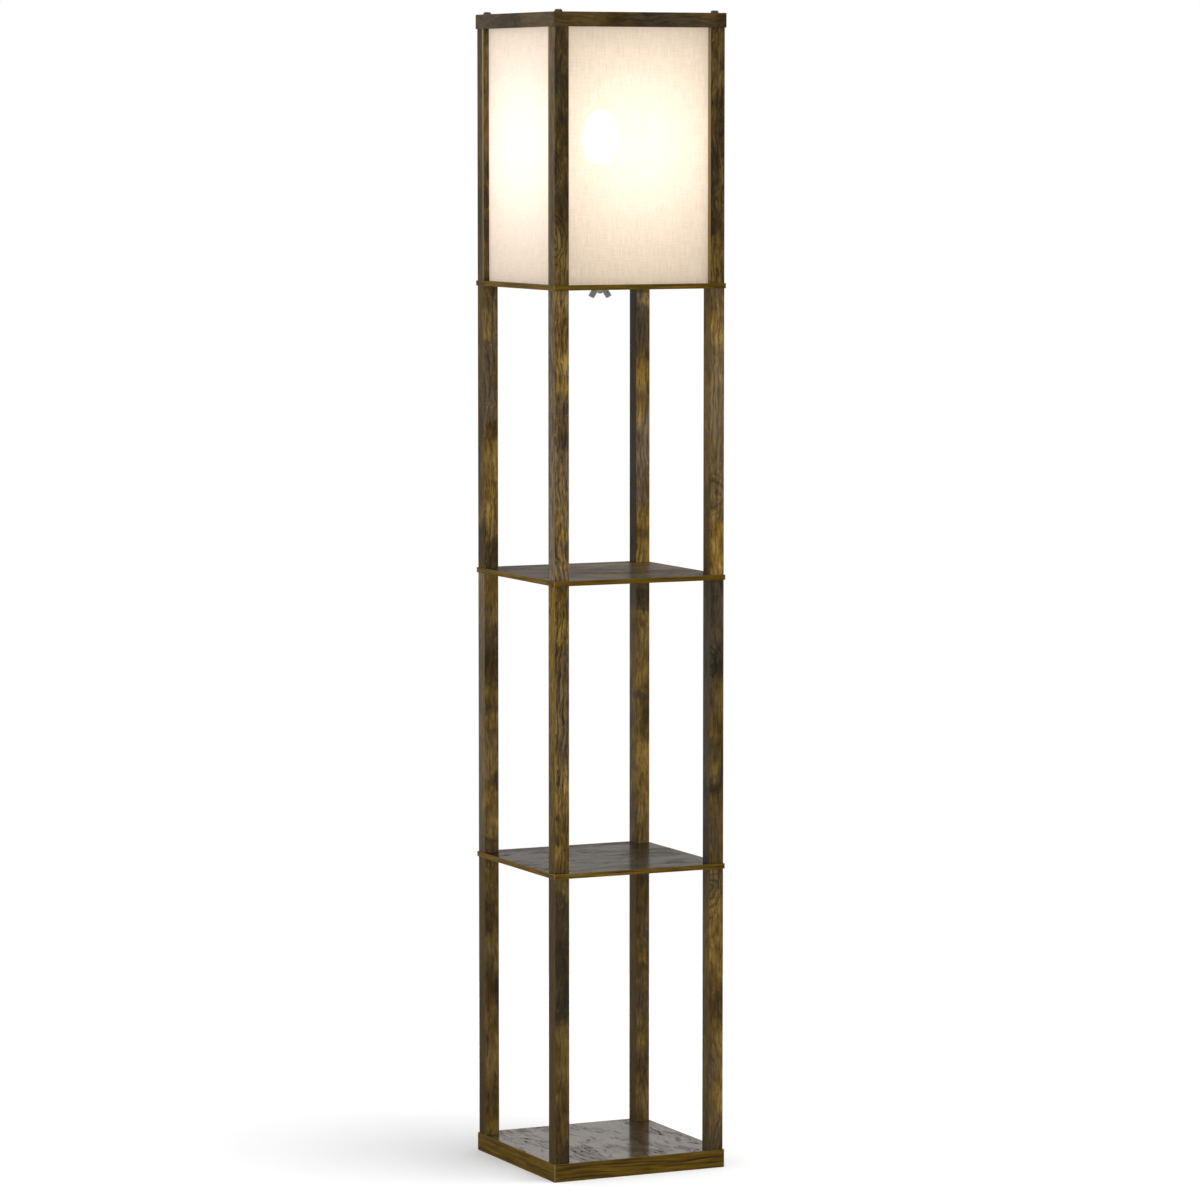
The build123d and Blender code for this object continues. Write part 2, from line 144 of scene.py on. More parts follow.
LINEN_CLOTH = (0.634, 0.489, 0.346, 1.0)
SIDE_LINEN_SHEEN_TINT = (0.99, 1.00, 1.05, 1.0)
LAMPLIGHT_IN_LINEN = (0.805, 0.738, 0.632, 1.0)
LAMPLIGHT_IN_FILM = (1.0, 0.96, 0.88, 1.0)
BULB_WHITE = (1.0, 0.95, 0.86, 1.0)
WHITE = (1.0, 1.0, 1.0, 1.0)

# ---------------------------------------------------------------- camera

CAMERA_BEARING = math.radians(25.267)  # how far round to the left of the front it stands
CAMERA_REACH = 7.300  # how far from the lamp's axis
CAMERA_HEIGHT = 1.4536
CAMERA_TILT = math.radians(5.2074)  # how far it looks down
CAMERA_LENS = 157.87  # in mm, on a frame 36 mm wide

camera_data = bpy.data.cameras.new("view from the front left")
camera_data.lens = CAMERA_LENS
camera_data.sensor_width = 36.0
camera_data.clip_start = 0.1
camera_data.clip_end = 100.0
camera = bpy.data.objects.new("camera", camera_data)
camera.location = (
    -math.sin(CAMERA_BEARING) * CAMERA_REACH,
    -math.cos(CAMERA_BEARING) * CAMERA_REACH,
    CAMERA_HEIGHT,
)
camera.rotation_euler = (math.radians(90.0) - CAMERA_TILT, 0.0, -CAMERA_BEARING)
scene.collection.objects.link(camera)
scene.camera = camera

# ---------------------------------------------------------------- helpers for node trees


def feed(tree, socket, value):
    """Give an input either another node's output or a plain value."""
    if isinstance(value, bpy.types.NodeSocket):
        tree.links.new(value, socket)
    else:
        socket.default_value = value


def put(tree, kind, inputs=None, **settings):
    """Add a node, set it up, and feed the inputs that are named."""
    made = tree.nodes.new(kind)
    for name, value in settings.items():
        setattr(made, name, value)
    for name, value in (inputs or {}).items():
        feed(tree, made.inputs[name], value)
    return made


def calc(tree, operation, *values, clamp=False):
    """A Math node's output. Its values are numbers or other nodes' outputs."""
    inputs = dict(enumerate(values))
    return put(tree, "ShaderNodeMath", inputs, operation=operation, use_clamp=clamp).outputs[0]


def stretch(tree, vector, scale, shift=(0.0, 0.0, 0.0)):
    """The vector with each axis multiplied, then moved."""
    inputs = {0: vector, 1: scale, 2: shift}
    return put(tree, "ShaderNodeVectorMath", inputs, operation="MULTIPLY_ADD").outputs[0]


def fade(tree, value, low, high, to_low=0.0, to_high=1.0, way="SMOOTHSTEP"):
    """The value mapped from one range to another, smoothly or straight, and held at its ends."""
    inputs = {
        "Value": value,
        "From Min": low,
        "From Max": high,
        "To Min": to_low,
        "To Max": to_high,
    }
    return put(tree, "ShaderNodeMapRange", inputs, interpolation_type=way).outputs[0]


def noise(tree, vector, scale, detail=2.0, roughness=0.5, distortion=0.0):
    """Cloudy noise from 0 to 1. Its scale is in clouds per metre."""
    inputs = {
        "Vector": vector,
        "Scale": scale,
        "Detail": detail,
        "Roughness": roughness,
        "Distortion": distortion,
    }
    return put(tree, "ShaderNodeTexNoise", inputs).outputs["Fac"]


def blend(tree, amount, first, second, mode="MIX"):
    """Two colours mixed by an amount."""
    made = put(tree, "ShaderNodeMix", data_type="RGBA", blend_type=mode, clamp_factor=True)
    for place, value in ((0, amount), (6, first), (7, second)):
        feed(tree, made.inputs[place], value)
    return made.outputs[2]


def grey(tree, value):
    """One number as a colour."""
    return put(tree, "ShaderNodeCombineColor", {0: value, 1: value, 2: value}).outputs[0]


def dim(tree, colour, level):
    """A colour multiplied by one number."""
    return blend(tree, 1.0, colour, grey(tree, level), "MULTIPLY")


def colours(tree, value, stops):
    """A colour ramp's output, from a list of (place, red, green, blue)."""
    made = put(tree, "ShaderNodeValToRGB", {"Fac": value})
    strip = made.color_ramp.elements
    while len(strip) < len(stops):
        strip.new(0.5)
    for element, (place, *rgb) in zip(strip, stops):
        element.position = place
        element.color = (*rgb, 1.0)
    return made.outputs["Color"]


def start_group(name, inputs, outputs):
    """A new node group with its sockets. Returns its tree, its input node and its output node."""
    tree = bpy.data.node_groups.new(name, "ShaderNodeTree")
    for label, kind, value in inputs:
        socket = tree.interface.new_socket(label, in_out="INPUT", socket_type=kind)
        if value is not None:
            socket.default_value = value
    for label, kind in outputs:
        tree.interface.new_socket(label, in_out="OUTPUT", socket_type=kind)
    return tree, put(tree, "NodeGroupInput").outputs, put(tree, "NodeGroupOutput")


def finish_group(tree, end, results):
    """Link the results to the group's outputs, and give the group."""
    for label, socket in results.items():
        tree.links.new(socket, end.inputs[label])
    return tree


def use(tree, group, inputs):
    """Place a group in a material and give its outputs."""
    made = tree.nodes.new("ShaderNodeGroup")
    made.node_tree = group
    for name, value in inputs.items():
        feed(tree, made.inputs[name], value)
    return made.outputs


def start_material(name, **surface):
    """A material with a Principled shader, whose plain values are set on the shader itself."""
    material = bpy.data.materials.new(name)
    material.use_nodes = True
    tree = material.node_tree
    shader = tree.nodes["Principled BSDF"]
    for label, value in surface.items():
        shader.inputs[label.replace("_", " ")].default_value = value
    place = put(tree, "ShaderNodeTexCoord").outputs["Object"]
    return material, tree, shader, place


def bump(tree, shader, height, distance, strength):
    """Relief from a height, as deep as the distance where the height is 1."""
    inputs = {"Height": height, "Distance": distance, "Strength": strength}
    tree.links.new(put(tree, "ShaderNodeBump", inputs).outputs["Normal"], shader.inputs["Normal"])


# ---------------------------------------------------------------- shared effects


def wander(tree, vector, scale, reach):
    """A small sideways push, different from place to place, up to about a third of the reach."""
    made = put(tree, "ShaderNodeTexNoise", {"Vector": vector, "Scale": scale, "Detail": 2.0})
    return stretch(tree, made.outputs["Color"], (reach,) * 3, (-0.5 * reach,) * 3)


def resize(tree, vector, scale):
    """The vector multiplied by one number."""
    inputs = {0: vector, "Scale": scale}
    return put(tree, "ShaderNodeVectorMath", inputs, operation="SCALE").outputs[0]


def add_places(tree, first, second):
    """The sum of two vectors."""
    return put(tree, "ShaderNodeVectorMath", {0: first, 1: second}, operation="ADD").outputs[0]


def make_oak_print():
    """Worn oak as printed on foil: grain along Z, charcoal patches, knots and light flecks."""
    tree, given, end = start_group(
        "worn oak print",
        [
            ("Vector", "NodeSocketVector", None),
            ("Lightness", "NodeSocketFloat", 1.0),
            ("Charcoal", "NodeSocketFloat", 0.5),
            ("Figure", "NodeSocketFloat", 0.6),
            ("Crispness", "NodeSocketFloat", 0.6),
            ("Ashen", "NodeSocketFloat", 0.6),
        ],
        [
            ("Color", "NodeSocketColor"),
            ("Grain", "NodeSocketFloat"),
            ("Height", "NodeSocketFloat"),
            ("Roughness", "NodeSocketFloat"),
        ],
    )
    place = given["Vector"]
    push = wander(tree, stretch(tree, place, (1.0, 1.0, 0.45)), 9.0, 0.036)
    bent = add_places(tree, place, push)
    curl = wander(tree, stretch(tree, place, (1.0, 1.0, 0.75)), 40.0, 0.011)
    curled = add_places(tree, bent, resize(tree, curl, given["Figure"]))

    mottle = noise(tree, stretch(tree, curled, (1.0, 1.0, 0.55)), 55.0, 4.0, 0.62, 0.5)
    cloud = noise(tree, stretch(tree, bent, (1.0, 1.0, 0.66)), 10.5, 4.0, 0.56, 1.0)
    tone = calc(tree, "MULTIPLY_ADD", cloud, 0.68, calc(tree, "MULTIPLY", mottle, 0.32))
    wood = colours(tree, tone, OAK_INKS)

    # Growth rings cut lengthwise: bands that bow and close where the figure is strong.
    rings = put(
        tree,
        "ShaderNodeTexWave",
        {"Vector": curled, "Scale": 46.0, "Distortion": 3.0, "Detail": 2.0, "Detail Scale": 1.2},
        wave_type="RINGS",
        rings_direction="Z",
        wave_profile="SAW",
    ).outputs["Fac"]
    ring_line = fade(tree, rings, 0.50, 0.96)
    figured = noise(tree, stretch(tree, place, (1.0, 1.0, 0.6)), 15.0, 2.0)
    ring_mask = calc(tree, "MULTIPLY", ring_line, fade(tree, figured, 0.44, 0.58))
    ring_mask = calc(tree, "MULTIPLY", ring_mask, given["Figure"])

    # Pores and early wood: fine dark dashes along the grain.
    pores = noise(tree, stretch(tree, curled, (1.0, 1.0, 0.075)), 540.0, 2.0, 0.6)
    pore_mask = fade(tree, pores, 0.53, 0.63)
    streaks = noise(tree, stretch(tree, curled, (1.0, 1.0, 0.080)), 360.0, 3.0, 0.68)

    # Soot-dark patches with soft edges that break up along the grain.
    patch = noise(tree, stretch(tree, bent, (1.0, 1.0, 0.66)), 13.0, 6.0, 0.58, 0.8)
    patch_edge = calc(tree, "MULTIPLY_ADD", given["Charcoal"], -0.20, 0.63)
    patch_mask = fade(tree, patch, patch_edge, calc(tree, "ADD", patch_edge, 0.13))

    # Knots: about one cell in four holds one, with dark rings drawn round it.
    knot_place = stretch(tree, bent, (1.0, 1.0, 0.62))
    cells = put(tree, "ShaderNodeTexVoronoi", {"Vector": knot_place, "Scale": 13.0})
    pick = put(tree, "ShaderNodeSeparateColor", {"Color": cells.outputs["Color"]}).outputs[0]
    chosen = fade(tree, pick, 0.74, 0.78)
    knot_far = calc(tree, "MULTIPLY_ADD", mottle, 0.22, cells.outputs["Distance"])
    knot_core = fade(tree, knot_far, 0.20, 0.15)
    turns = calc(tree, "SINE", calc(tree, "MULTIPLY", knot_far, 92.0))
    halo = calc(tree, "MULTIPLY", fade(tree, turns, 0.0, 0.9), fade(tree, knot_far, 0.55, 0.28))
    knot_mask = calc(tree, "MULTIPLY_ADD", halo, 0.75, knot_core, clamp=True)
    knot_mask = calc(tree, "MULTIPLY", knot_mask, chosen)

    # Rubbed places where the light wood shows through.
    fleck = noise(tree, stretch(tree, curled, (1.0, 1.0, 0.60)), 250.0, 3.0, 0.62)
    fleck_mask = fade(tree, fleck, 0.60, 0.70)
    fleck_mask = calc(tree, "MULTIPLY", fleck_mask, fade(tree, mottle, 0.46, 0.58))

    # Ashen places, as bright as the wood round them but with little colour of their own.
    faded = noise(tree, stretch(tree, bent, (1.0, 1.0, 0.60)), 14.0, 4.0, 0.60)
    faded = calc(tree, "MULTIPLY", fade(tree, faded, 0.42, 0.62), given["Ashen"])
    wood = blend(tree, faded, wood, ASHEN_INK)

    colour = blend(tree, calc(tree, "MULTIPLY", patch_mask, 0.84), wood, CHARCOAL_INK)
    colour = blend(tree, calc(tree, "MULTIPLY", ring_mask, 0.78), colour, RING_INK)
    colour = blend(tree, calc(tree, "MULTIPLY", fleck_mask, 0.50), colour, FLECK_INK)
    pore_depth = calc(tree, "MULTIPLY", pore_mask, given["Crispness"])
    colour = blend(tree, calc(tree, "MULTIPLY", pore_depth, 0.90, clamp=True), colour, PORE_INK)
    colour = blend(tree, calc(tree, "MULTIPLY", knot_mask, 0.85), colour, KNOT_INK)
    swing = fade(tree, streaks, 0.36, 0.64, -0.60, 0.60)
    grain = calc(tree, "ADD", calc(tree, "MULTIPLY", swing, given["Crispness"]), 1.0)
    colour = dim(tree, colour, calc(tree, "MULTIPLY", grain, given["Lightness"]))

    depth = calc(tree, "MULTIPLY_ADD", pore_mask, -0.7, calc(tree, "MULTIPLY", ring_mask, -0.3))
    rough = fade(tree, streaks, 0.30, 0.70, 0.34, 0.46)
    rough = calc(tree, "MULTIPLY_ADD", pore_mask, 0.10, rough)
    grain = calc(tree, "MULTIPLY", grain, calc(tree, "MULTIPLY_ADD", pore_depth, -0.50, 1.0))
    results = {"Color": colour, "Grain": grain, "Height": depth, "Roughness": rough}
    return finish_group(tree, end, results)


def make_side_place():
    """For a part that goes round the tower: the way along each side, and the height.

    Turned is 1 on the left and right sides, and 0 on the front and back ones.
    """
    tree, given, end = start_group(
        "place along a side",
        [("Vector", "NodeSocketVector", None)],
        [
            ("Along", "NodeSocketFloat"),
            ("Height", "NodeSocketFloat"),
            ("Turned", "NodeSocketFloat"),
        ],
    )
    axes = put(tree, "ShaderNodeSeparateXYZ", {0: given["Vector"]}).outputs
    outward = [calc(tree, "ABSOLUTE", axes[axis]) for axis in ("X", "Y")]
    turned = calc(tree, "GREATER_THAN", *outward)
    kept = calc(tree, "SUBTRACT", 1.0, turned)
    by_depth = calc(tree, "MULTIPLY", axes["Y"], turned)
    by_width = calc(tree, "MULTIPLY", axes["X"], kept)
    along = calc(tree, "ADD", by_depth, by_width)
    return finish_group(tree, end, {"Along": along, "Height": axes["Z"], "Turned": turned})


def make_corner_wear():
    """Rubbed upright corners of a square part, told by its half width from its own middle."""
    tree, given, end = start_group(
        "rubbed corners",
        [
            ("Vector", "NodeSocketVector", None),
            ("Middle", "NodeSocketFloat", 0.0),
            ("Half width", "NodeSocketFloat", 0.1),
            ("Reach", "NodeSocketFloat", 0.001),
        ],
        [("Mask", "NodeSocketFloat")],
    )
    axes = put(tree, "ShaderNodeSeparateXYZ", {0: given["Vector"]}).outputs
    gaps = []
    for axis in ("X", "Y"):
        out = calc(tree, "SUBTRACT", calc(tree, "ABSOLUTE", axes[axis]), given["Middle"])
        gaps.append(calc(tree, "SUBTRACT", given["Half width"], calc(tree, "ABSOLUTE", out)))
    gap = calc(tree, "MAXIMUM", *gaps)
    rough_edge = noise(tree, stretch(tree, given["Vector"], (1.0, 1.0, 0.4)), 140.0, 4.0, 0.7)
    gap = calc(tree, "MULTIPLY_ADD", calc(tree, "SUBTRACT", rough_edge, 0.5), given["Reach"], gap)
    mask = calc(tree, "SUBTRACT", 1.0, calc(tree, "DIVIDE", gap, given["Reach"]), clamp=True)
    return finish_group(tree, end, {"Mask": mask})


def make_post_flanks():
    """The two faces of each corner post that look left or right, told by the post's own middle."""
    tree, given, end = start_group(
        "flanks of the corner posts",
        [("Vector", "NodeSocketVector", None), ("Middle", "NodeSocketFloat", 0.1)],
        [("Mask", "NodeSocketFloat"), ("Height", "NodeSocketFloat")],
    )
    axes = put(tree, "ShaderNodeSeparateXYZ", {0: given["Vector"]}).outputs
    offsets = []
    for axis in ("X", "Y"):
        offset = calc(tree, "SUBTRACT", calc(tree, "ABSOLUTE", axes[axis]), given["Middle"])
        offsets.append(calc(tree, "ABSOLUTE", offset))
    flank = calc(tree, "GREATER_THAN", *offsets)
    return finish_group(tree, end, {"Mask": flank, "Height": axes["Z"]})


def make_bulb_glow():
    """How strongly the bulb shows on a panel: 1 opposite its middle, a half at the pool's reach."""
    tree, given, end = start_group(
        "glow of the bulb",
        [
            ("Along", "NodeSocketFloat", 0.0),
            ("Height", "NodeSocketFloat", 0.0),
            ("Width", "NodeSocketFloat", 1.0),
        ],
        [("Glow", "NodeSocketFloat")],
    )
    along = calc(tree, "DIVIDE", given["Along"], given["Width"])
    rise = calc(tree, "SUBTRACT", given["Height"], BULB_CENTRE_HEIGHT)
    away = put(tree, "ShaderNodeCombineXYZ", {"X": along, "Y": rise}).outputs[0]
    away = put(tree, "ShaderNodeVectorMath", {0: away}, operation="LENGTH").outputs["Value"]
    share = calc(tree, "POWER", calc(tree, "DIVIDE", away, POOL_REACH), POOL_FALL)
    glow = calc(tree, "DIVIDE", 1.0, calc(tree, "ADD", share, 1.0))
    return finish_group(tree, end, {"Glow": glow})


def make_linen_weave():
    """Plain-woven linen on a flat panel: two sets of threads, with slubs in both."""
    tree, given, end = start_group(
        "linen weave",
        [("Along", "NodeSocketFloat", 0.0), ("Height", "NodeSocketFloat", 0.0)],
        [("Shade", "NodeSocketFloat"), ("Height", "NodeSocketFloat")],
    )
    axes = {"X": given["Along"], "Y": given["Height"]}
    flat = put(tree, "ShaderNodeCombineXYZ", axes).outputs[0]
    drift = noise(tree, flat, 60.0, 2.0)
    shift = calc(tree, "MULTIPLY", calc(tree, "SUBTRACT", drift, 0.5), THREAD_DRIFT)
    threads = []
    slubs = []
    ropes = []
    # The upright threads first, told by their place along the panel, then the level ones.
    for value, scale in ((given["Along"], (1.0, 0.05, 1.0)), (given["Height"], (0.05, 1.0, 1.0))):
        strayed = calc(tree, "ADD", value, shift)
        turns = calc(tree, "MULTIPLY", strayed, 2.0 * math.pi / THREAD_PITCH)
        threads.append(calc(tree, "SINE", turns))
        slubs.append(noise(tree, stretch(tree, flat, scale), 950.0, 2.0, 0.6))
        ropes.append(noise(tree, stretch(tree, flat, scale), 300.0, 2.0, 0.5))
    over = calc(tree, "MULTIPLY", *threads)
    slub = calc(tree, "MULTIPLY_ADD", slubs[0], 0.58, calc(tree, "MULTIPLY", slubs[1], 0.42))
    rope = calc(tree, "MULTIPLY_ADD", ropes[0], 0.72, calc(tree, "MULTIPLY", ropes[1], 0.28))
    cloth = noise(tree, flat, 45.0, 3.0)
    shade = calc(tree, "MULTIPLY_ADD", calc(tree, "SUBTRACT", slub, 0.5), 0.70, 1.0)
    shade = calc(tree, "MULTIPLY_ADD", calc(tree, "SUBTRACT", rope, 0.5), 0.16, shade)
    shade = calc(tree, "MULTIPLY_ADD", calc(tree, "SUBTRACT", cloth, 0.5), 0.05, shade)
    shade = calc(tree, "MULTIPLY_ADD", over, 0.02, shade)
    height = calc(tree, "MULTIPLY_ADD", over, 0.5, calc(tree, "MULTIPLY", slub, 1.2))
    return finish_group(tree, end, {"Shade": shade, "Height": height})


def make_handled_metal():
    """Fine brush lines and dull spots on a turned or pressed metal part."""
    tree, given, end = start_group(
        "handled metal",
        [("Vector", "NodeSocketVector", None), ("Scale", "NodeSocketFloat", 1.0)],
        [("Shade", "NodeSocketFloat"), ("Dull", "NodeSocketFloat"), ("Height", "NodeSocketFloat")],
    )
    place = resize(tree, given["Vector"], given["Scale"])
    lines = noise(tree, stretch(tree, place, (0.08, 0.08, 1.0)), 2600.0, 2.0)
    spots = noise(tree, place, 320.0, 4.0, 0.6)
    shade = calc(tree, "MULTIPLY_ADD", calc(tree, "SUBTRACT", spots, 0.5), 0.5, 1.0)
    dull = calc(tree, "MULTIPLY_ADD", spots, 0.30, calc(tree, "MULTIPLY", lines, 0.14))
    height = calc(tree, "ADD", calc(tree, "MULTIPLY", lines, 0.4), spots)
    return finish_group(tree, end, {"Shade": shade, "Dull": dull, "Height": height})


OAK_PRINT = make_oak_print()
SIDE_PLACE = make_side_place()
CORNER_WEAR = make_corner_wear()
POST_FLANKS = make_post_flanks()
BULB_GLOW = make_bulb_glow()
LINEN_WEAVE = make_linen_weave()
HANDLED_METAL = make_handled_metal()

# ---------------------------------------------------------------- wood finishes


def turned_print(tree, place, turn, shift):
    """The print's own coordinates on a part: turned to its grain, on its own stretch of foil."""
    inputs = {"Vector": place, "Rotation": turn, "Location": shift}
    return put(tree, "ShaderNodeMapping", inputs, vector_type="POINT").outputs[0]


# How the print is turned on a part, so that its grain runs along Z, X or Y.
GRAIN_UP = (0.0, 0.0, 0.0)
GRAIN_ACROSS = (0.0, math.radians(90.0), 0.0)
GRAIN_DEEP = (math.radians(90.0), 0.0, 0.0)


def make_rail_foil(rail, turn, shift, lightness):
    """Satin oak foil, wrapped on a rail of the top frame."""
    material, tree, shader, place = start_material(
        f"oak foil on {rail}", Specular_IOR_Level=0.18, IOR=1.45
    )
    inputs = {
        "Vector": turned_print(tree, place, turn, shift),
        "Lightness": lightness,
        "Charcoal": 0.66,
        "Figure": 0.3,
        "Crispness": 0.3,
        "Ashen": 0.7,
    }
    oak = use(tree, OAK_PRINT, inputs)
    tree.links.new(oak["Color"], shader.inputs["Base Color"])
    tree.links.new(oak["Roughness"], shader.inputs["Roughness"])
    bump(tree, shader, oak["Height"], FOIL_RELIEF, 0.6)
    return material


def make_post_foil(
    post, shift, lightness, charcoal, figure, crispness, ashen, flank, share, levels
):
    """Oak foil on a post: charcoal that fades along it, flanks toned partly by the print and partly
    with painted sheen and glow, and rubbed corners.
    """
    material, tree, shader, place = start_material(
        f"oak foil on {post}", Specular_IOR_Level=0.18, IOR=1.45
    )
    foot, top = POST_SPANS[post.split("_")[0]]
    flanks = use(tree, POST_FLANKS, {"Vector": place, "Middle": POST_CENTRE})
    inputs = {
        "Vector": turned_print(tree, place, GRAIN_UP, shift),
        "Lightness": lightness,
        "Charcoal": fade(tree, flanks["Height"], foot, top, charcoal[1], charcoal[0]),
        "Figure": figure,
        "Crispness": crispness,
        "Ashen": ashen,
    }
    oak = use(tree, OAK_PRINT, inputs)
    # Painted light on the flanks: the faces that look left or right lean to a tone that is partly
    # print, partly painted sheen and glow, set lighter or darker from foot to top.
    level = fade(tree, flanks["Height"], foot, top, levels[1], levels[0])
    tone = dim(tree, FLANK_TONES_AND_PAINTED_LIGHT[flank], calc(tree, "MULTIPLY", oak["Grain"], level))
    colour = blend(tree, calc(tree, "MULTIPLY", flanks["Mask"], share), oak["Color"], tone)
    if post.startswith("shade"):
        # Painted glow: a warm strip along a shade post's flank next to the lit linen, stronger
        # towards the top.
        inward = calc(tree, "ABSOLUTE", use(tree, SIDE_PLACE, {"Vector": place})["Along"])
        painted_glow = fade(tree, inward, GLOW_STRIP_END, GLOW_STRIP_END - GLOW_STRIP_SOFT)
        painted_glow = calc(tree, "MULTIPLY", painted_glow, flanks["Mask"])
        painted_glow = calc(tree, "MULTIPLY", painted_glow, fade(tree, flanks["Height"], foot, top, 0.35, 0.95))
        colour = blend(tree, painted_glow, colour, POST_GLOW_TONE)
    corners = {
        "Vector": place,
        "Middle": POST_CENTRE,
        "Half width": POST_HALF,
        "Reach": CORNER_RUB,
    }
    wear = use(tree, CORNER_WEAR, corners)["Mask"]
    colour = blend(tree, calc(tree, "MULTIPLY", wear, 0.35), colour, RUBBED_FOIL)
    tree.links.new(colour, shader.inputs["Base Color"])
    tree.links.new(oak["Roughness"], shader.inputs["Roughness"])
    bump(tree, shader, oak["Height"], FOIL_RELIEF, 0.6)
    return material


def make_board_top(board, turn, shift, lightness, ashen, gloss):
    """Oak laminate of a board, under a clear coat worn thin along cracks and ashen streaks."""
    surface = {"Specular_IOR_Level": 0.03, "IOR": 1.5, "Coat_Roughness": 0.16, "Coat_IOR": 1.5}
    material, tree, shader, place = start_material(f"oak laminate on {board}", **surface)
    printed = turned_print(tree, place, turn, shift)
    inputs = {
        "Vector": printed,
        "Lightness": lightness,
        "Charcoal": 0.50,
        "Figure": 0.30,
        "Crispness": 0.5,
        "Ashen": 0.6,
    }
    oak = use(tree, OAK_PRINT, inputs)
    push = wander(tree, stretch(tree, printed, (1.0, 1.0, 0.5)), 16.0, 0.030)
    bent = add_places(tree, printed, push)
    ash = noise(tree, stretch(tree, bent, (1.0, 1.0, 0.34)), 19.0, 8.0, 0.70, 0.8)
    crack = noise(tree, stretch(tree, bent, (1.0, 1.0, 0.13)), 230.0, 5.0, 0.72, 1.2)
    crack_mask = fade(tree, crack, 0.535, 0.585)
    crack_mask = calc(tree, "MULTIPLY", crack_mask, fade(tree, ash, 0.46, 0.56))
    ash_mask = fade(tree, ash, 0.45, 0.60)
    colour = blend(tree, calc(tree, "MULTIPLY", ash_mask, ashen), oak["Color"], ASH_STREAK_INK)
    colour = blend(tree, calc(tree, "MULTIPLY", crack_mask, 0.85), colour, CRACK_INK)
    tree.links.new(colour, shader.inputs["Base Color"])
    rough = calc(tree, "MULTIPLY_ADD", crack_mask, 0.16, fade(tree, ash, 0.35, 0.65, 0.42, 0.52))
    tree.links.new(rough, shader.inputs["Roughness"])
    coat = calc(tree, "MULTIPLY_ADD", ash_mask, -0.34, 1.0)
    coat = calc(tree, "MULTIPLY_ADD", crack_mask, -0.75, coat)
    sheen = fade(tree, crack, 0.34, 0.62, 1.10 * gloss, 0.82 * gloss)
    coat = calc(tree, "MULTIPLY", coat, sheen, clamp=True)
    tree.links.new(coat, shader.inputs["Coat Weight"])
    height = calc(tree, "MULTIPLY_ADD", crack_mask, -0.8, oak["Height"])
    bump(tree, shader, height, LAMINATE_RELIEF, 0.4)
    return material


def make_banding_finish(banding, top, lightness):
    """Edge strips of a board: grain along each strip, rubbed corners, and a painted highlight along
    the top edge.
    """
    material, tree, shader, place = start_material(
        f"finish of {banding}", Specular_IOR_Level=0.14, IOR=1.45
    )
    side = use(tree, SIDE_PLACE, {"Vector": place})
    # Each board, and each turned side of it, has strips from another stretch of the print.
    shift = calc(tree, "MULTIPLY_ADD", side["Turned"], 0.37, 0.11 * top + 0.05)
    axes = {"X": side["Height"], "Y": shift, "Z": side["Along"]}
    strip = put(tree, "ShaderNodeCombineXYZ", axes).outputs[0]
    wave = noise(tree, stretch(tree, strip, (1.0, 1.0, 0.30)), 24.0, 2.0)
    lean = calc(tree, "MULTIPLY", calc(tree, "SUBTRACT", wave, 0.5), 0.012)
    nudge = put(tree, "ShaderNodeCombineXYZ", {"X": lean}).outputs[0]
    strip = add_places(tree, strip, nudge)
    tone = noise(tree, stretch(tree, strip, (1.0, 1.0, 0.07)), 210.0, 4.0, 0.62)
    colour = colours(tree, tone, BANDING_INKS)
    lines = noise(tree, stretch(tree, strip, (1.0, 1.0, 0.020)), 560.0, 2.0, 0.6)
    line_mask = fade(tree, lines, 0.54, 0.62)
    colour = blend(tree, calc(tree, "MULTIPLY", line_mask, 0.70), colour, BANDING_LINE_INK)
    colour = dim(tree, colour, lightness)
    # Painted highlight: a lighter line just under the top edge of the banding.
    top_highlight = fade(tree, side["Height"], top - TOP_HIGHLIGHT_DROP - TOP_HIGHLIGHT_SOFT, top - TOP_HIGHLIGHT_DROP)
    colour = blend(tree, calc(tree, "MULTIPLY", top_highlight, 0.40), colour, BANDING_TOP_HIGHLIGHT)
    corners = {"Vector": place, "Middle": 0.0, "Half width": BOARD_HALF, "Reach": BANDING_RUB}
    wear = use(tree, CORNER_WEAR, corners)["Mask"]
    colour = blend(tree, calc(tree, "MULTIPLY", wear, 0.6), colour, RUBBED_BANDING)
    tree.links.new(colour, shader.inputs["Base Color"])
    rough = calc(tree, "MULTIPLY_ADD", line_mask, 0.10, 0.42)
    tree.links.new(rough, shader.inputs["Roughness"])
    bump(tree, shader, calc(tree, "MULTIPLY", line_mask, -1.0), BANDING_RELIEF, 0.6)
    return material


def dress(node, material):
    """Give a CAD node its finish."""
    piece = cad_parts[node]
    piece.data.materials.clear()
    piece.data.materials.append(material)
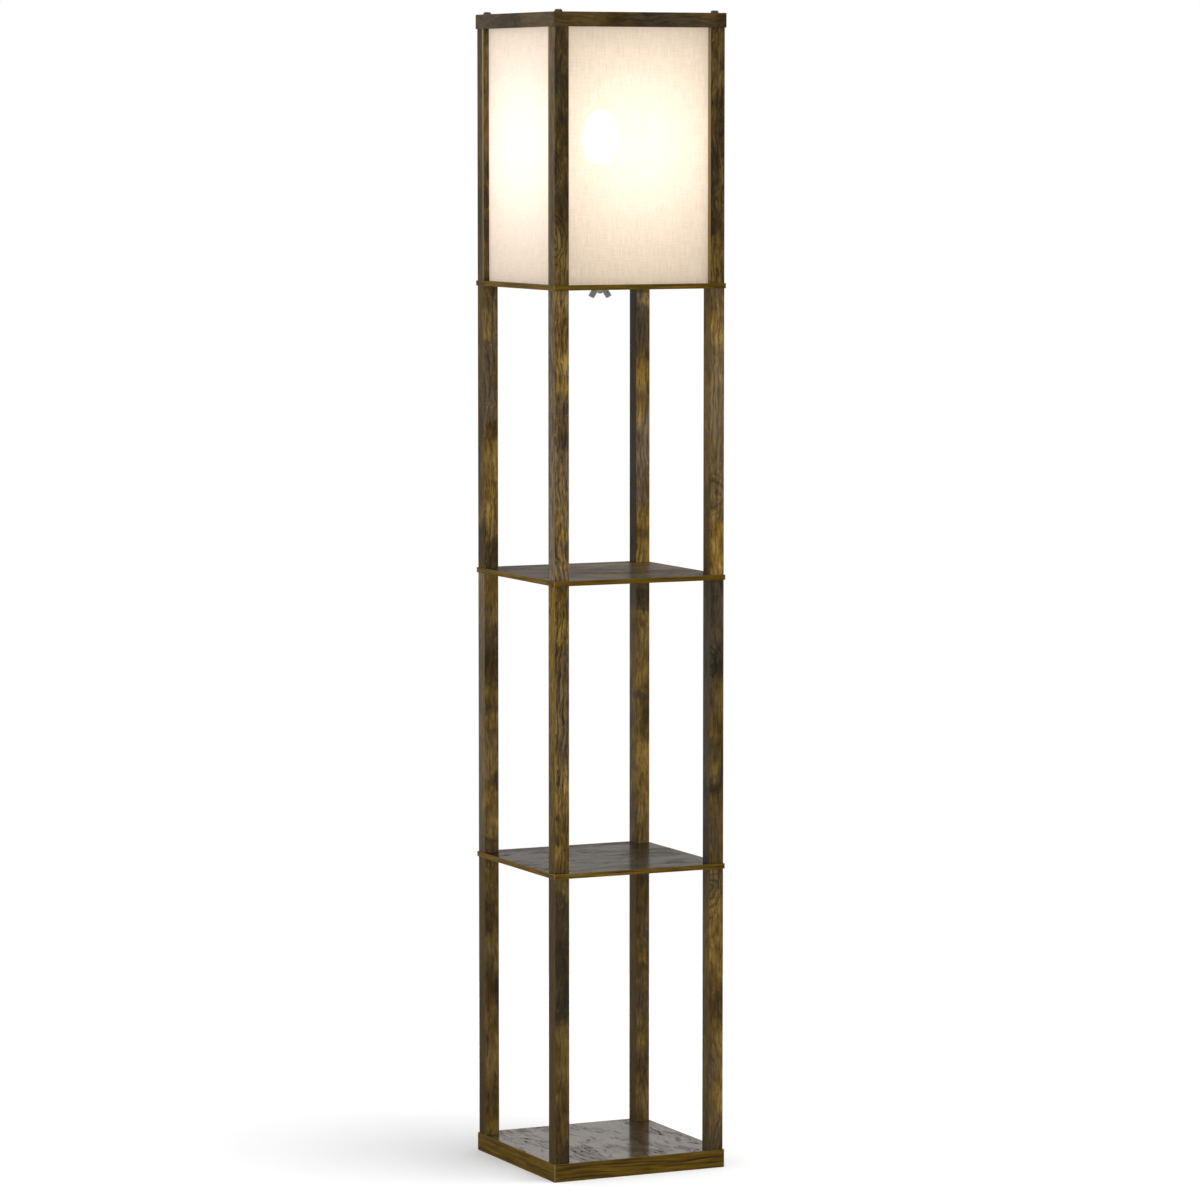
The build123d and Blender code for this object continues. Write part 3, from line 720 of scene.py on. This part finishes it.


# Each post has its own stretch of foil: (shift along the print, lightness, charcoal at its top and
# at its foot, figure, crispness, ashen share), then its flanks, toned partly by the print and
# partly
# with painted sheen and glow: (tone, share of that tone, levels at the top and at the foot).
POST_FOILS = {
    "upper_post_front_left": (
        ((0.31, 0.12, 0.40), 1.46, (0.85, 0.10), 0.55, 0.78, 0.75),
        ("ashen", 0.80, (1.00, 1.20)),
    ),
    "middle_post_front_left": (
        ((1.37, 0.52, 1.10), 0.92, (0.50, 0.40), 1.00, 0.75, 0.65),
        ("golden", 0.80, (1.22, 0.42)),
    ),
    "lower_post_front_left": (
        ((2.21, 0.83, 2.30), 0.64, (0.95, 0.70), 0.50, 0.40, 0.55),
        ("russet", 0.92, (1.06, 1.06)),
    ),
    "shade_post_front_left": (
        ((3.43, 1.22, 3.10), 0.72, (0.80, 0.35), 0.40, 0.55, 0.20),
        ("ashen", 0.75, (1.25, 0.75)),
    ),
    "upper_post_front_right": (
        ((4.11, 1.73, 4.60), 1.42, (0.65, 0.15), 0.60, 0.45, 0.80),
        ("umber", 0.70, (1.85, 0.85)),
    ),
    "middle_post_front_right": (
        ((5.27, 2.31, 5.20), 0.56, (0.60, 0.95), 0.50, 0.40, 0.90),
        ("smoky", 0.75, (1.15, 0.85)),
    ),
    "lower_post_front_right": (
        ((6.35, 2.87, 6.10), 0.97, (0.30, 0.75), 0.70, 0.45, 0.40),
        ("russet", 0.75, (1.95, 1.20)),
    ),
    "shade_post_front_right": (
        ((7.19, 3.13, 7.70), 0.70, (0.45, 0.55), 0.90, 0.60, 0.35),
        ("golden", 0.92, (1.15, 1.40)),
    ),
    "upper_post_back_left": (
        ((8.23, 3.77, 8.20), 1.28, (0.15, 0.95), 0.80, 0.50, 0.85),
        ("umber", 0.75, (0.95, 0.45)),
    ),
    "middle_post_back_left": (
        ((9.31, 4.19, 9.40), 1.20, (0.05, 0.80), 0.60, 0.45, 0.30),
        ("ashen", 0.75, (1.00, 0.65)),
    ),
    "lower_post_back_left": (
        ((10.4, 4.61, 10.3), 0.90, (0.30, 0.60), 0.50, 0.45, 0.40),
        ("russet", 0.90, (1.06, 0.82)),
    ),
    "shade_post_back_left": (
        ((11.2, 5.23, 11.1), 0.75, (0.55, 0.55), 0.50, 0.50, 0.40),
        ("smoky", 0.60, (1.00, 1.00)),
    ),
    "upper_post_back_right": (
        ((12.6, 5.71, 12.5), 1.75, (0.80, 0.10), 0.70, 0.50, 0.95),
        ("dark", 0.90, (1.00, 0.90)),
    ),
    "middle_post_back_right": (
        ((13.3, 6.17, 13.2), 1.15, (0.90, 0.45), 0.60, 0.50, 0.40),
        ("smoky", 0.60, (0.90, 1.00)),
    ),
    "lower_post_back_right": (
        ((14.1, 6.53, 14.6), 0.80, (0.65, 0.35), 0.50, 0.45, 0.40),
        ("russet", 0.90, (1.05, 0.88)),
    ),
    "shade_post_back_right": (
        ((15.7, 7.11, 15.3), 0.80, (0.55, 0.55), 0.50, 0.50, 0.40),
        ("golden", 0.50, (1.00, 1.00)),
    ),
}
for post, (face, flank) in POST_FOILS.items():
    dress(post, make_post_foil(post, *face, *flank))

# Each rail: (way of the grain, shift along the print, lightness).
RAIL_FOILS = {
    "front_rail": (GRAIN_ACROSS, (16.3, 7.91, 16.2), 0.42),
    "back_rail": (GRAIN_ACROSS, (17.7, 8.37, 17.5), 0.75),
    "left_rail": (GRAIN_DEEP, (18.5, 8.83, 18.1), 0.70),
    "right_rail": (GRAIN_DEEP, (19.1, 9.29, 19.4), 0.75),
}
for rail, foil in RAIL_FOILS.items():
    dress(rail, make_rail_foil(rail, *foil))

# Each board: (way of the grain, shift along the print, lightness, share of ashen streaks, gloss).
BOARD_TOPS = {
    "base_board": (GRAIN_DEEP, (20.3, 9.71, 20.6), 0.36, 0.60, 1.11),
    "lower_shelf": (GRAIN_ACROSS, (21.7, 10.3, 21.2), 0.12, 0.40, 0.67),
    "upper_shelf": (GRAIN_ACROSS, (22.1, 10.9, 22.8), 0.46, 0.30, 0.36),
    "shade_floor": (GRAIN_ACROSS, (23.9, 11.3, 23.3), 0.46, 0.30, 0.36),
}
for board, laminate in BOARD_TOPS.items():
    dress(board, make_board_top(board, *laminate))

# Each board's banding: (height of its top edge, lightness).
BANDINGS = {
    "base_edge_banding": (0.025, 1.04),
    "lower_shelf_edge_banding": (0.427, 1.20),
    "upper_shelf_edge_banding": (0.829, 1.25),
    "shade_floor_edge_banding": (1.231, 1.10),
}
for banding, strips in BANDINGS.items():
    dress(banding, make_banding_finish(banding, *strips))

# ---------------------------------------------------------------- linen panels


def make_linen():
    """Unbleached linen lit from behind: woven threads, with the bulb's pool of light in them."""
    surface = {
        "Roughness": 0.85,
        "Specular_IOR_Level": 0.15,
        "Sheen_Weight": 0.25,
        "Emission_Strength": 1.02,
        "Alpha": 0.76,
    }
    material, tree, shader, place = start_material("lit linen", **surface)
    side = use(tree, SIDE_PLACE, {"Vector": place})
    weave = use(tree, LINEN_WEAVE, {"Along": side["Along"], "Height": side["Height"]})
    # The left and right panels catch a wider pool than the front and the back.
    width = fade(tree, side["Turned"], 0.0, 1.0, 1.0, 1.35)
    reach = {"Along": side["Along"], "Height": side["Height"], "Width": width}
    glow = use(tree, BULB_GLOW, reach)["Glow"]
    # Painted sheen: the left and right panels are tinted slightly cooler than the front and the
    # back.
    sheen_tint = blend(tree, side["Turned"], WHITE, SIDE_LINEN_SHEEN_TINT)
    shade = dim(tree, sheen_tint, weave["Shade"])
    cloth = blend(tree, 1.0, LINEN_CLOTH, shade, "MULTIPLY")
    tree.links.new(cloth, shader.inputs["Base Color"])
    pool = blend(tree, 1.0, dim(tree, shade, glow), LAMPLIGHT_IN_LINEN, "MULTIPLY")
    tree.links.new(pool, shader.inputs["Emission Color"])
    bump(tree, shader, weave["Height"], WEAVE_RELIEF, 0.7)
    return material


def make_liner():
    """Stiff frosted film behind the linen, seen from inside the shade."""
    material, tree, shader, place = start_material(
        "frosted liner film", Specular_IOR_Level=0.3, Emission_Strength=1.0, Alpha=0.38
    )
    side = use(tree, SIDE_PLACE, {"Vector": place})
    glow = use(tree, BULB_GLOW, {"Along": side["Along"], "Height": side["Height"]})["Glow"]
    frost = noise(tree, place, 900.0, 3.0, 0.6)
    colour = colours(tree, frost, [(0.3, 0.80, 0.77, 0.70), (0.7, 0.88, 0.86, 0.80)])
    tree.links.new(colour, shader.inputs["Base Color"])
    pool = dim(tree, LAMPLIGHT_IN_FILM, calc(tree, "MULTIPLY", glow, 0.25))
    tree.links.new(pool, shader.inputs["Emission Color"])
    tree.links.new(fade(tree, frost, 0.3, 0.7, 0.42, 0.54), shader.inputs["Roughness"])
    bump(tree, shader, frost, FILM_RELIEF, 0.5)
    return material


LINEN = make_linen()


def model_linen_panel():
    """The cloth of the front panel, drawn tight, with a faint ripple between its hems."""
    bpy.ops.object.select_all(action="DESELECT")
    across, up = LINEN_CELLS
    bpy.ops.mesh.primitive_grid_add(x_subdivisions=across, y_subdivisions=up, size=1.0)
    panel = bpy.context.active_object
    bpy.ops.object.mode_set(mode="EDIT")
    bpy.ops.mesh.select_all(action="SELECT")
    bpy.ops.transform.resize(value=(PANEL_WIDTH, PANEL_HEIGHT, 1.0))
    bpy.ops.transform.rotate(value=math.radians(-90.0), orient_axis="X", center_override=ORIGIN)
    bpy.ops.transform.translate(value=(0.0, -PANEL_FACE, PANEL_FOOT + PANEL_HEIGHT / 2))
    bpy.ops.object.mode_set(mode="OBJECT")

    # The cloth is held along its four hems, so the ripple dies out towards them.
    free = panel.vertex_groups.new(name="cloth between the hems")
    for vertex in panel.data.vertices:
        aside = abs(vertex.co.x) / (PANEL_WIDTH / 2)
        above = abs(vertex.co.z - PANEL_FOOT - PANEL_HEIGHT / 2) / (PANEL_HEIGHT / 2)
        share = max(0.0, 1.0 - aside**HEM_SIDE) * max(0.0, 1.0 - above**HEM_END)
        free.add([vertex.index], share, "REPLACE")
    swell = bpy.data.textures.new("slack in the cloth", "CLOUDS")
    swell.noise_scale = RIPPLE_SPAN
    ripple = panel.modifiers.new("ripple", "DISPLACE")
    ripple.texture = swell
    ripple.texture_coords = "LOCAL"
    ripple.direction = "NORMAL"
    ripple.mid_level = RIPPLE_LEVEL
    ripple.strength = RIPPLE_DEPTH
    ripple.vertex_group = free.name
    bpy.ops.object.modifier_apply(modifier=ripple.name)
    wall = panel.modifiers.new("cloth thickness", "SOLIDIFY")
    wall.thickness = LINEN_THICK
    wall.offset = -1.0
    bpy.ops.object.modifier_apply(modifier=wall.name)
    bpy.ops.object.shade_smooth_by_angle(angle=SMOOTH_ANGLE)
    panel.vertex_groups.clear()
    panel.data.materials.clear()
    panel.data.materials.append(LINEN)
    return panel


def hang_linen(pattern, side, turn):
    """A copy of the front panel's cloth, turned round the tower to its own side."""
    panel = pattern.copy()
    panel.data = pattern.data.copy()
    panel.name = f"{side}_linen_sheet"
    scene.collection.objects.link(panel)
    bpy.ops.object.select_all(action="DESELECT")
    panel.select_set(True)
    bpy.context.view_layer.objects.active = panel
    bpy.ops.object.mode_set(mode="EDIT")
    bpy.ops.mesh.select_all(action="SELECT")
    bpy.ops.transform.rotate(value=math.radians(-turn), orient_axis="Z", center_override=ORIGIN)
    bpy.ops.object.mode_set(mode="OBJECT")
    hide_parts(f"{side}_linen")
    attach(panel, "stand")


linen_pattern = model_linen_panel()
for side, turn in SIDES.items():
    hang_linen(linen_pattern, side, turn)
bpy.data.objects.remove(linen_pattern)

liner_film = make_liner()
for side in SIDES:
    dress(f"{side}_liner", liner_film)

# ---------------------------------------------------------------- metal, moulding and bulb


def make_metal(name, colour, rough, metallic, scale=1.0, grime=None):
    """A metal finish with brush lines and dull spots, and with grime in patches if it is given."""
    material, tree, shader, place = start_material(name, Metallic=metallic)
    marks = use(tree, HANDLED_METAL, {"Vector": place, "Scale": scale})
    base = dim(tree, (*colour, 1.0), marks["Shade"])
    if grime is not None:
        dark = fade(tree, noise(tree, place, 420.0, 3.0), 0.50, 0.64)
        base = blend(tree, calc(tree, "MULTIPLY", dark, 0.5), base, (*grime, 1.0))
    tree.links.new(base, shader.inputs["Base Color"])
    tree.links.new(calc(tree, "ADD", marks["Dull"], rough), shader.inputs["Roughness"])
    bump(tree, shader, marks["Height"], METAL_RELIEF, 0.6)
    return material


zinc = make_metal("zinc plate", (0.60, 0.60, 0.57), 0.16, 1.0)
for fastener in (
    "post_inserts",
    "base_bolts",
    "clamp_stud",
    "clamp_washer",
    "lower_shelf_studs",
    "upper_shelf_studs",
    "shade_floor_studs",
):
    dress(fastener, zinc)
bronze = make_metal(
    "dark bronze screw", (0.085, 0.060, 0.050), 0.12, 0.85, grime=(0.03, 0.02, 0.02)
)
dress("top_cap_screws", bronze)
cast = make_metal(
    "cast grey zinc", (0.58, 0.60, 0.55), 0.26, 0.35, scale=1.4, grime=(0.24, 0.24, 0.22)
)
dress("wing_nut", cast)
dress("holder_screw_shell", make_metal("pressed brass", (0.72, 0.52, 0.22), 0.12, 1.0))
dress("holder_centre_contact", make_metal("brass strip", (0.70, 0.50, 0.20), 0.16, 1.0))
rolled = make_metal("rolled aluminium", (0.72, 0.72, 0.70), 0.14, 1.0, grime=(0.38, 0.38, 0.37))
dress("bulb_cap", rolled)
dress("bulb_contact", make_metal("solder", (0.52, 0.52, 0.50), 0.22, 1.0))


def make_moulded(name, colour, rough, grain_size, spread=0.25, depth=MOULDING_RELIEF, **surface):
    """A moulded or coated part: fine surface grain, and a colour that varies by the spread."""
    material, tree, shader, place = start_material(name, **surface)
    cloud = noise(tree, place, 70.0, 3.0)
    grain = noise(tree, place, 1.0 / grain_size, 3.0, 0.6)
    low = tuple(c * (1.0 - spread) for c in colour)
    high = tuple(c * (1.0 + spread) for c in colour)
    tone = calc(tree, "MULTIPLY_ADD", grain, 0.5, calc(tree, "MULTIPLY", cloud, 0.5))
    tree.links.new(colours(tree, tone, [(0.38, *low), (0.62, *high)]), shader.inputs["Base Color"])
    uneven = fade(tree, grain, 0.3, 0.7, rough - 0.06, rough + 0.06)
    tree.links.new(uneven, shader.inputs["Roughness"])
    bump(tree, shader, grain, depth, 0.6)
    return material


powder = make_moulded(
    "black powder coat", (0.022, 0.022, 0.022), 0.42, 0.0008, 0.30, POWDER_RELIEF
)
dress("stem_flange", powder)
dress("stem_tube", powder)
moulding = make_moulded("black lampholder moulding", (0.018, 0.018, 0.019), 0.34, 0.0006)
dress("holder_cap", moulding)
dress("holder_shell", moulding)
ceramic = make_moulded(
    "glazed ceramic", (0.74, 0.70, 0.61), 0.18, 0.0030, 0.06, GLAZE_RELIEF, Coat_Weight=0.4
)
dress("holder_insulator", ceramic)
bead = make_moulded("black glass bead", (0.012, 0.012, 0.016), 0.12, 0.0020, 0.3, GLASS_RELIEF)
dress("bulb_insulator", bead)
rubber = make_moulded("matt black rubber", (0.020, 0.020, 0.019), 0.62, 0.0005, 0.2, RUBBER_RELIEF)
dress("cord_grommet", rubber)


def make_lit_glass():
    """Opal glass of the lit bulb: brightest over the globe, with a soft coating grain."""
    material, tree, shader, place = start_material(
        "lit opal glass", Roughness=0.25, Emission_Strength=14.0
    )
    grain = noise(tree, place, 260.0, 3.0, 0.6)
    height = put(tree, "ShaderNodeSeparateXYZ", {0: place}).outputs["Z"]
    neck = fade(tree, height, *BULB_NECK, 0.70, 1.0)
    frost = calc(tree, "MULTIPLY", fade(tree, grain, 0.3, 0.7, 0.94, 1.0), neck)
    tree.links.new(dim(tree, BULB_WHITE, frost), shader.inputs["Emission Color"])
    coating = colours(tree, grain, [(0.3, 0.86, 0.84, 0.78), (0.7, 0.94, 0.92, 0.88)])
    tree.links.new(coating, shader.inputs["Base Color"])
    tree.links.new(fade(tree, grain, 0.3, 0.7, 0.20, 0.30), shader.inputs["Roughness"])
    bump(tree, shader, grain, GLASS_RELIEF, 0.4)
    return material


dress("bulb_glass", make_lit_glass())

# ---------------------------------------------------------------- floor, backdrop and light

# What shines is shown a dimmer floor than the camera sees.
FLOOR_RADIUS = 1.6
FLOOR_TONE = (0.80, 0.80, 0.80, 1.0)
FLOOR_TONE_IN_GLOSS = (0.24, 0.23, 0.21, 1.0)
FLOOR_LIFT = 0.15  # added to the floor as the camera sees it, to bring it up to the backdrop

bpy.ops.object.select_all(action="DESELECT")
bpy.ops.mesh.primitive_circle_add(
    vertices=96, radius=FLOOR_RADIUS, fill_type="NGON", location=ORIGIN
)
floor = bpy.context.active_object
floor.name = "studio_floor"

floor_white = bpy.data.materials.new("pale studio floor")
floor_white.use_nodes = True
floor_tree = floor_white.node_tree
floor_shader = floor_tree.nodes["Principled BSDF"]
floor_shader.inputs["Roughness"].default_value = 0.9
floor_shader.inputs["Specular IOR Level"].default_value = 0.0
floor_shader.inputs["Emission Color"].default_value = WHITE
seen = put(floor_tree, "ShaderNodeLightPath").outputs
floor_tone = blend(floor_tree, seen["Is Glossy Ray"], FLOOR_TONE, FLOOR_TONE_IN_GLOSS)
floor_tree.links.new(floor_tone, floor_shader.inputs["Base Color"])
seen_share = calc(floor_tree, "MAXIMUM", seen["Is Camera Ray"], seen["Is Transmission Ray"])
floor_lift = calc(floor_tree, "MULTIPLY", seen_share, FLOOR_LIFT)
floor_tree.links.new(floor_lift, floor_shader.inputs["Emission Strength"])
floor.data.materials.append(floor_white)

# The studio is white to the camera. What shines shows it as a room: bright overhead, dimmer low
# down at the back, and dark low down at the front, where no wall is lit. Both are given from low to
# high: (place, red, green, blue).
BACK_WALL = [
    (0.30, 0.36, 0.36, 0.36),
    (0.42, 0.190, 0.180, 0.168),
    (0.56, 0.350, 0.335, 0.315),
    (0.66, 0.780, 0.740, 0.690),
    (0.88, 1.00, 1.00, 1.00),
]
FRONT_ROOM = [
    (0.30, 0.08, 0.08, 0.08),
    (0.60, 0.12, 0.12, 0.12),
    (1.0, 0.80, 0.80, 0.80),
]
SOFT_LIGHT = 0.75  # the strength of the white all round, as it lights the lamp

studio = bpy.data.worlds.new("white studio")
scene.world = studio
studio.use_nodes = True
sky_tree = studio.node_tree
sky_tree.nodes.clear()
sky_path = put(sky_tree, "ShaderNodeLightPath").outputs
sky_seen = calc(sky_tree, "MAXIMUM", sky_path["Is Camera Ray"], sky_path["Is Glossy Ray"])
sky_seen = calc(sky_tree, "MAXIMUM", sky_seen, sky_path["Is Transmission Ray"])
sky_way = put(sky_tree, "ShaderNodeTexCoord").outputs["Generated"]
sky_axes = put(sky_tree, "ShaderNodeSeparateXYZ", {0: sky_way}).outputs
sky_rise = fade(sky_tree, sky_axes["Z"], -0.2, 0.4, way="LINEAR")
back_wall = colours(sky_tree, sky_rise, BACK_WALL)
front_room = colours(sky_tree, sky_rise, FRONT_ROOM)
room = blend(sky_tree, fade(sky_tree, sky_axes["Y"], -0.40, 0.25), front_room, back_wall)
room = blend(sky_tree, sky_path["Is Glossy Ray"], WHITE, room)
soft_light = put(sky_tree, "ShaderNodeBackground", {"Color": WHITE, "Strength": SOFT_LIGHT})
white_wall = put(sky_tree, "ShaderNodeBackground", {"Color": room, "Strength": 1.0})
sky_mix = put(sky_tree, "ShaderNodeMixShader", {0: sky_seen})
sky_tree.links.new(soft_light.outputs[0], sky_mix.inputs[1])
sky_tree.links.new(white_wall.outputs[0], sky_mix.inputs[2])
sky_out = put(sky_tree, "ShaderNodeOutputWorld")
sky_tree.links.new(sky_mix.outputs[0], sky_out.inputs["Surface"])


def add_sun(name, strength, softness, colour, tip, turn):
    """A soft light from far off, tipped from straight above and then turned, all in degrees."""
    light = bpy.data.lights.new(name.replace("_", " "), "SUN")
    light.energy = strength
    light.angle = math.radians(softness)
    light.color = colour
    sun = bpy.data.objects.new(name, light)
    sun.rotation_euler = (math.radians(tip), 0.0, math.radians(turn))
    scene.collection.objects.link(sun)


add_sun("key_light", 1.30, 22.0, (1.0, 1.0, 1.0), 14.5, 45.0)
add_sun("left_fill_light", 0.70, 60.0, (0.93, 0.97, 1.0), 75.0, -110.0)

scene.view_settings.view_transform = "Standard"
